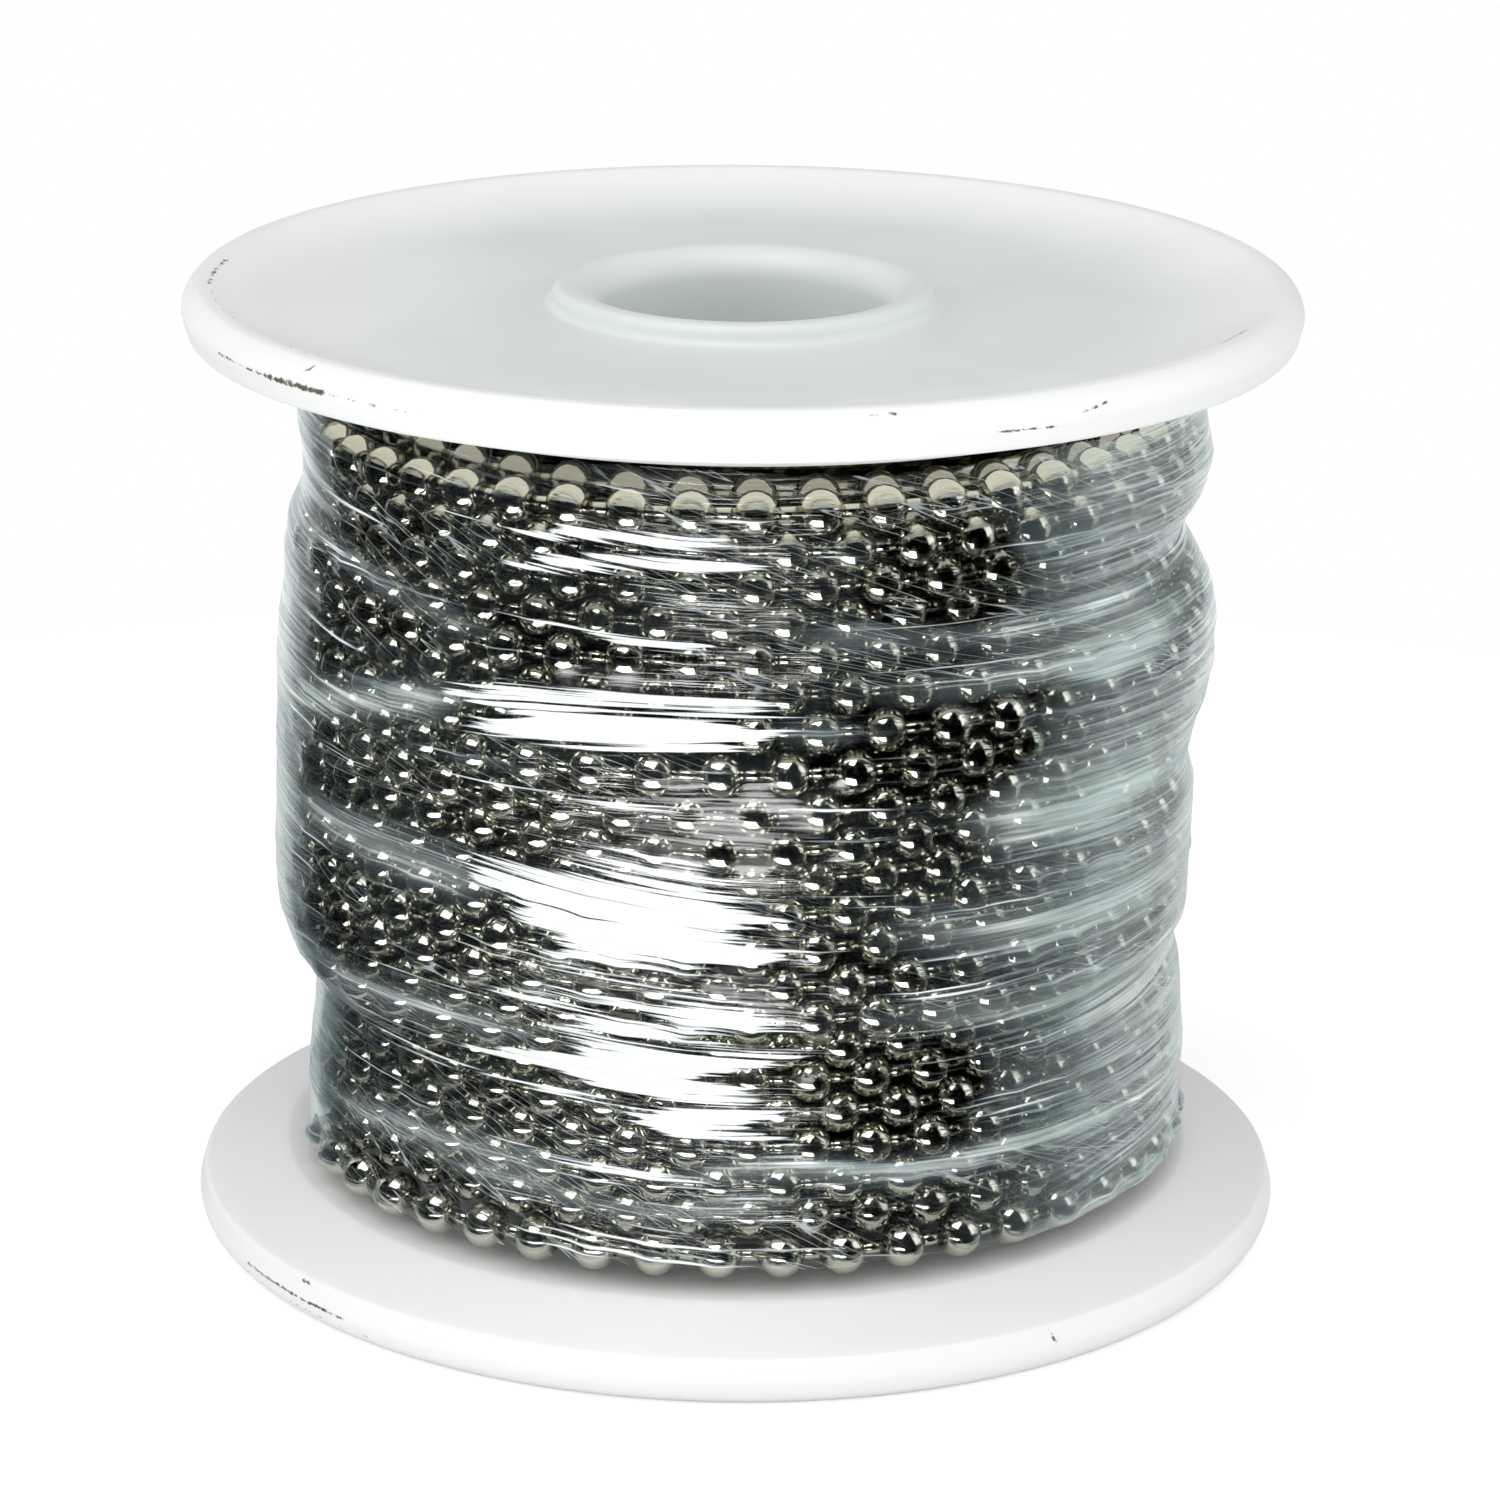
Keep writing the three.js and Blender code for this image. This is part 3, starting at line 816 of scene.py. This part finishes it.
def white_plastic(name, web, rim, marks):
    """Satin plastic: `web` is a painted-shade colour near the bore, `rim` the lit colour at the edge, and
    `marks` are its scuffs.
    """
    s = Shader(name)
    place = s.node("ShaderNodeSeparateXYZ", Vector=s.place()).outputs
    across, deep, level = place["X"], place["Y"], place["Z"]
    squares = s.math("ADD", s.math("MULTIPLY", across, across), s.math("MULTIPLY", deep, deep))
    radius = s.math("SQRT", squares)
    degrees = s.math("MULTIPLY", s.math("ARCTAN2", across, s.math("MULTIPLY", deep, -1.0)), 1 / DEGREE)

    mottle = s.noise(s.place(70), detail=4, roughness=0.6)
    # Painted light and shade: paler towards the rim and on the left side, where the lamps light the flange
    # more, and darker on the web near the bore.
    outward = s.ramp(radius, 0.034, 0.053)
    left = s.math("MULTIPLY", s.ramp(across, -0.018, -0.042), 0.7)
    pale = s.math("MAXIMUM", outward, left)
    colour = s.mix_colour(s.math("ADD", pale, s.math("MULTIPLY", mottle, 0.12), clamp=True), web, rim)

    blots = s.noise(s.place(1300), detail=3, roughness=0.7)
    dirt = None
    for along, first, last, at_first, at_last, thickness, density in marks:
        share = s.ramp(degrees, first, last, at_first * MM, at_last * MM, smooth=False)
        off = s.math("ABSOLUTE", s.math("SUBTRACT", radius if along == "radius" else level, share))
        line = s.math("MULTIPLY", s.ramp(off, thickness * MM, 0.0), density)
        start = s.ramp(degrees, first - MARK_FADE, first + MARK_FADE)
        ends = s.math("MULTIPLY", start, s.ramp(degrees, last + MARK_FADE, last - MARK_FADE))
        if along == "radius":
            ends = s.math("MULTIPLY", ends, s.ramp(level, REEL_HEIGHT - 3 * MM, REEL_HEIGHT - 2 * MM))
        else:
            ends = s.math("MULTIPLY", ends, s.ramp(radius, 0.0525, 0.0535))
        line = s.math("MULTIPLY", line, ends)
        dirt = line if dirt is None else s.math("MAXIMUM", dirt, line)
    dirt = s.ramp(s.math("ADD", blots, s.math("MULTIPLY", dirt, 0.45)), 0.72, 0.92)
    colour = s.mix_colour(dirt, colour, DIRT_COLOUR)

    grain = s.noise(s.place(900), detail=3)
    scratches = s.noise(s.wrap(40, 2600, 0.04), detail=2, flat=True)
    height = s.math("ADD", s.math("MULTIPLY", grain, 0.5), s.math("MULTIPLY", scratches, 0.5))
    body = s.node(
        "ShaderNodeBsdfPrincipled", Base_Color=colour, Roughness=s.ramp(mottle, 0.3, 0.7, 0.46, 0.56),
        Normal=s.bump(height, 0.00003, 0.6))
    body.inputs["IOR"].default_value = 1.49
    body.inputs["Specular IOR Level"].default_value = 0.25
    return s.finish(body.outputs[0])


def nickel(name, shade):
    """Polished nickel. A `shade` under 1 darkens it, for layers that little light reaches."""
    s = Shader(name)
    patches = s.noise(s.place(160), detail=3)
    pits = s.noise(s.place(1500), detail=3, roughness=0.6)
    dark, pale = (rgba(*(part * shade for part in tone)) for tone in (NICKEL_DARK, NICKEL_PALE))
    body = s.node(
        "ShaderNodeBsdfPrincipled", Base_Color=s.mix_colour(patches, dark, pale),
        Roughness=s.ramp(pits, 0.35, 0.75, 0.07, 0.2), Normal=s.bump(pits, 0.00004, 0.35))
    body.inputs["Metallic"].default_value = 1.0
    return s.finish(body.outputs[0])


def clear_film(name, gloss_level):
    """Clear film with stretch lines. The mesh says where it is milky or pale with painted sheen, where it
    carries painted crease highlights, where it is crinkled and where it ends.
    """
    s = Shader(name)
    fine = s.noise(s.wrap(45, 2900, 0.03), detail=1, roughness=0.65, flat=True)
    broad = s.noise(s.wrap(26, 700, 0.05), detail=1.5, roughness=0.6, flat=True)
    crossing = s.noise(s.wrap(45, 1100, 0.33), detail=0, flat=True)
    haze_and_sheen = s.attribute("haze_and_sheen")
    crease_highlight = s.attribute("crease_highlight")
    crinkle = s.attribute("crinkle")
    inside = s.attribute("inside")
    facing = s.node("ShaderNodeLayerWeight", Blend=0.5).outputs["Facing"]

    ridge = s.math("ABSOLUTE", s.math("SUBTRACT", crossing, 0.5))
    ridge = s.math("MULTIPLY", s.ramp(ridge, 0.022, 0.0), s.ramp(crinkle, 0.35, 0.75))
    lines = s.math("ADD", s.math("MULTIPLY", broad, 0.5), s.math("MULTIPLY", fine, 0.5))
    strength = s.ramp(crinkle, 0.1, 0.8, 0.15, 1.0)
    normal = s.bump(lines, 0.4 * MM, strength)

    def cover(over, under):
        """The share of light that two thin layers stop together."""
        clear_over = s.math("SUBTRACT", 1.0, over, clamp=True)
        clear_under = s.math("SUBTRACT", 1.0, under, clamp=True)
        return s.math("SUBTRACT", 1.0, s.math("MULTIPLY", clear_over, clear_under), clamp=True)

    # Painted highlights: the crease bands and crossing crease lines turn white with the pale crease colour.
    white = s.ramp(s.math("ADD", lines, s.math("MULTIPLY", crease_highlight, 0.38)), 0.68, 0.76)
    white = cover(white, s.math("MULTIPLY", ridge, 0.45))
    streaked = s.ramp(s.math("ADD", lines, s.math("MULTIPLY", haze_and_sheen, 0.4)), 0.6, 0.92, 0.0, 0.6)
    pale = s.math("ADD", streaked, s.math("MULTIPLY", haze_and_sheen, 0.36))
    # Partly painted sheen and partly real haze: paler where the film is seen at a grazing angle.
    side = s.ramp(facing, 0.66, 0.97, 0.0, 0.55)
    haze = cover(white, cover(pale, side))
    haze = s.math("MULTIPLY", haze, inside, clamp=True)
    tint = s.mix_colour(s.ramp(haze_and_sheen, 0.1, 0.6), STREAK_COLOUR, HAZE_AND_SHEEN_COLOUR)
    tint = s.mix_colour(white, tint, CREASE_HIGHLIGHT_COLOUR)

    clear = s.node("ShaderNodeBsdfTransparent", Color=CLEAR_COLOUR).outputs[0]
    milky = s.node("ShaderNodeBsdfDiffuse", Color=tint, Normal=normal).outputs[0]
    body = s.mix_surface(haze, clear, milky)

    fresnel = s.node("ShaderNodeFresnel", Normal=normal).outputs[0]
    gloss = s.math("ADD", fresnel, gloss_level, clamp=True)
    gloss = s.math("MULTIPLY", gloss, s.ramp(lines, 0.42, 0.6, 0.25, 1.2))
    gloss = s.math("MULTIPLY", gloss, inside)
    shine = s.node("ShaderNodeBsdfGlossy", Color=rgba(1, 1, 1), Roughness=0.16, Normal=normal).outputs[0]
    return s.finish(s.mix_surface(gloss, body, shine))


# Stage

def seen_by(thing, camera=False, diffuse=False, glossy=False, transmission=False, shadow=False):
    thing.visible_camera = camera
    thing.visible_diffuse = diffuse
    thing.visible_glossy = glossy
    thing.visible_transmission = transmission
    thing.visible_shadow = shadow


def dark_card():
    s = Shader("dark_card")
    body = s.node("ShaderNodeEmission", Color=rgba(0, 0, 0), Strength=0.0)
    return s.finish(body.outputs[0])


def make_floor():
    """A white disc that holds the reel's shadow. The camera sees the white world past its edge."""
    sides = 96
    angles = 2 * math.pi * np.arange(sides) / sides
    s = Shader("pale_floor")
    seen = s.node("ShaderNodeLightPath").outputs["Is Camera Ray"]
    glow = s.node("ShaderNodeEmission", Color=rgba(1, 1, 1), Strength=s.math("MULTIPLY", seen, 0.4))
    matt = s.node("ShaderNodeBsdfDiffuse", Color=rgba(0.82, 0.82, 0.82))
    both = s.node("ShaderNodeAddShader")
    s.tree.links.new(glow.outputs[0], both.inputs[0])
    s.tree.links.new(matt.outputs[0], both.inputs[1])
    corners = cartesian(angles, FLOOR_RADIUS, 0 * angles)
    floor = mesh_object("floor", corners, [np.arange(sides)[None]], s.finish(both.outputs[0]), smooth=False)


def make_cards():
    """Cards that only the shiny surfaces see, as a photographer sets them round bright metal, and a glowing
    ring that paints the upper flange's reflection in the beads.
    """
    material = dark_card()

    def tent(name, first, last, highest):
        azimuth = np.linspace(first * DEGREE, last * DEGREE, 33)[None, :]
        elevation = np.linspace(-2 * DEGREE, highest * DEGREE, 13)[:, None]
        level, height = TENT_RADIUS * np.cos(elevation), TENT_RADIUS * np.sin(elevation)
        points = cartesian(azimuth, level + 0 * azimuth, height + 0 * azimuth)
        return mesh_object(name, points.reshape(-1, 3), [grid_faces(13, 33)], material)

    front_tent = tent("dark_tent_front", -215, -18, 88)
    back_tent = tent("dark_tent_back", 25, 112, 60)
    azimuth = np.linspace(-215 * DEGREE, -8 * DEGREE, 47)
    inner, outer = FLANGE_RADIUS + 2 * MM, TENT_RADIUS
    ring = np.concatenate([
        cartesian(azimuth, inner, MM + 0 * azimuth), cartesian(azimuth, outer, MM + 0 * azimuth)])
    apron = mesh_object("dark_apron", ring, [grid_faces(2, len(azimuth))], material, smooth=False)
    # A glowing pale ring, seen only in reflections: a painted reflection of the upper flange's lit under
    # side in the beads
    s = Shader("painted_reflection_glow")
    glow = s.node("ShaderNodeEmission", Color=rgba(1.0, 0.97, 0.86), Strength=1.1)
    azimuth = np.linspace(-165 * DEGREE, -15 * DEGREE, 47)
    level = WINDING_CEILING + SEAT_GAP / 2 + 0 * azimuth
    ring = np.concatenate([
        cartesian(azimuth, WOUND_RADIUS - 5 * MM, level), cartesian(azimuth, WOUND_RADIUS + 4 * MM, level)])
    reflector = mesh_object(
        "painted_flange_reflection", ring, [grid_faces(2, len(azimuth))], s.finish(glow.outputs[0]), smooth=False)
    for card in (front_tent, back_tent, apron, reflector):
        seen_by(card, glossy=True)


def make_lamp(name, place, target, size, radiance, **seen):
    """A softbox of this size in metres, as bright as a surface of this radiance."""
    data = bpy.data.lights.new(name, "AREA")
    data.shape = "RECTANGLE"
    data.size, data.size_y = size
    data.energy = radiance * math.pi * size[0] * size[1]
    lamp = bpy.data.objects.new(name, data)
    bpy.context.scene.collection.objects.link(lamp)
    direction = Vector(place) - Vector(target)
    lamp.matrix_world = Matrix.Translation(place) @ direction.to_track_quat("Z", "Y").to_matrix().to_4x4()
    seen_by(lamp, **seen)


def make_lights():
    middle = (0, 0, HALF_HEIGHT)

    def overhead(distance, elevation, azimuth):
        level, height = distance * math.cos(elevation), distance * math.sin(elevation)
        return (level * math.cos(azimuth), level * math.sin(azimuth), HALF_HEIGHT + height)

    make_lamp("key_softbox", overhead(0.95, 76 * DEGREE, FRONT - 14 * DEGREE), middle, (0.6, 0.6), 1.2,
              diffuse=True)
    make_lamp("key_glint", overhead(0.95, 68 * DEGREE, FRONT - 36 * DEGREE), middle, (0.8, 0.68), 9.0,
              glossy=True)
    make_lamp("front_fill", (-0.1, -1.1, 0.4), middle, (0.9, 0.9), 0.7, diffuse=True)
    make_lamp("table_bounce", (0, -0.32, 0.01), (0, 0, 0.12), (0.5, 0.3), 1.1, diffuse=True)
    make_lamp("left_panel", (-1.0, -0.25, 0.4), middle, (0.7, 0.7), 1.6, diffuse=True)
    make_lamp("right_panel", (1.0, -0.1, 0.45), middle, (0.7, 0.7), 1.2, diffuse=True, glossy=True)
    table_place, table_size = (-0.03, -0.13, 0.003), (0.11, 0.09)
    make_lamp("table_glint", table_place, (*table_place[:2], 1.0), table_size, 8.0, glossy=True)


def make_world():
    """White to the camera and to shiny and clear surfaces, and dimmer as a light on the reel."""
    world = bpy.data.worlds.new("studio")
    world.use_nodes = True
    tree = world.node_tree
    tree.nodes.clear()
    path = tree.nodes.new("ShaderNodeLightPath")
    seen = tree.nodes.new("ShaderNodeMath")
    seen.operation = "MAXIMUM"
    tree.links.new(path.outputs["Is Camera Ray"], seen.inputs[0])
    tree.links.new(path.outputs["Is Glossy Ray"], seen.inputs[1])
    also = tree.nodes.new("ShaderNodeMath")
    also.operation = "MAXIMUM"
    tree.links.new(seen.outputs[0], also.inputs[0])
    tree.links.new(path.outputs["Is Transmission Ray"], also.inputs[1])
    level = tree.nodes.new("ShaderNodeMapRange")
    level.inputs["To Min"].default_value = WORLD_LIGHT
    level.inputs["To Max"].default_value = 1.0
    tree.links.new(also.outputs[0], level.inputs["Value"])
    background = tree.nodes.new("ShaderNodeBackground")
    background.inputs["Color"].default_value = rgba(1, 1, 1)
    tree.links.new(level.outputs["Result"], background.inputs["Strength"])
    end = tree.nodes.new("ShaderNodeOutputWorld")
    tree.links.new(background.outputs[0], end.inputs["Surface"])
    bpy.context.scene.world = world


make_camera()

# Two copies of one white plastic, each with its own painted light and shade.
upper_plastic = white_plastic("white_plastic_upper", SHADED_WEB_COLOUR, LIT_RIM_COLOUR, UPPER_MARKS)
lower_plastic = white_plastic("white_plastic_lower", LOWER_SHADED_WEB_COLOUR, LOWER_LIT_RIM_COLOUR, LOWER_MARKS)
make_reel_half("reel_upper_half_moulding", True, upper_plastic)
make_reel_half("reel_lower_half_moulding", False, lower_plastic)

bright_nickel = nickel("nickel_bright", 1.0)
deep_nickel = nickel("nickel_deep", 0.55)
outer_angle, outer_radius, outer_level = lay_turns(0, CHAIN_START, 1, 11, 0.75 * MM, 0.7 * MM)
outer_radius = outer_radius - furrow_depth(outer_angle, outer_level)
outer_radius, outer_level = settle(outer_angle, outer_radius, outer_level)
outer_centres = cartesian(outer_angle, outer_radius, outer_level)
share_of_turns = math.ceil(len(outer_centres) / OUTER_PIECES)
for part in range(OUTER_PIECES):
    stretch_of_chain = outer_centres[part * share_of_turns:(part + 1) * share_of_turns + 1]
    make_chain(f"chain_outer_layer_{part + 1}", stretch_of_chain, bright_nickel, 16, 9, 10, True)
inner_angle, inner_radius, inner_level = lay_turns(LAYER_STEP, 0.4, -1, 23, 0.3 * MM, 0.5 * MM)
inner_centres = cartesian(inner_angle, inner_radius, inner_level)
make_chain("chain_inner_layer", inner_centres, deep_nickel, 12, 7, 6, False)
make_core(deep_nickel)

beads = (outer_angle, outer_radius, outer_level)
inner_film = clear_film("film_inner_turn_clear", 0.015)
outer_film = clear_film("film_outer_turn_clear", 0.01)
make_film("film_inner_turn", beads, FILM_LIFT, FRONT + math.pi, FRONT + 3 * math.pi, 481, 170,
          0.006 * MM, 41, inner_film, 1)
make_film("film_outer_turn", beads, 3 * FILM_LIFT, -53 * DEGREE, 208 * DEGREE, 350, 170,
          0.002 * MM, 57, outer_film, 0)

make_floor()
make_cards()
make_lights()
make_world()
bpy.context.scene.view_settings.view_transform = "Standard"
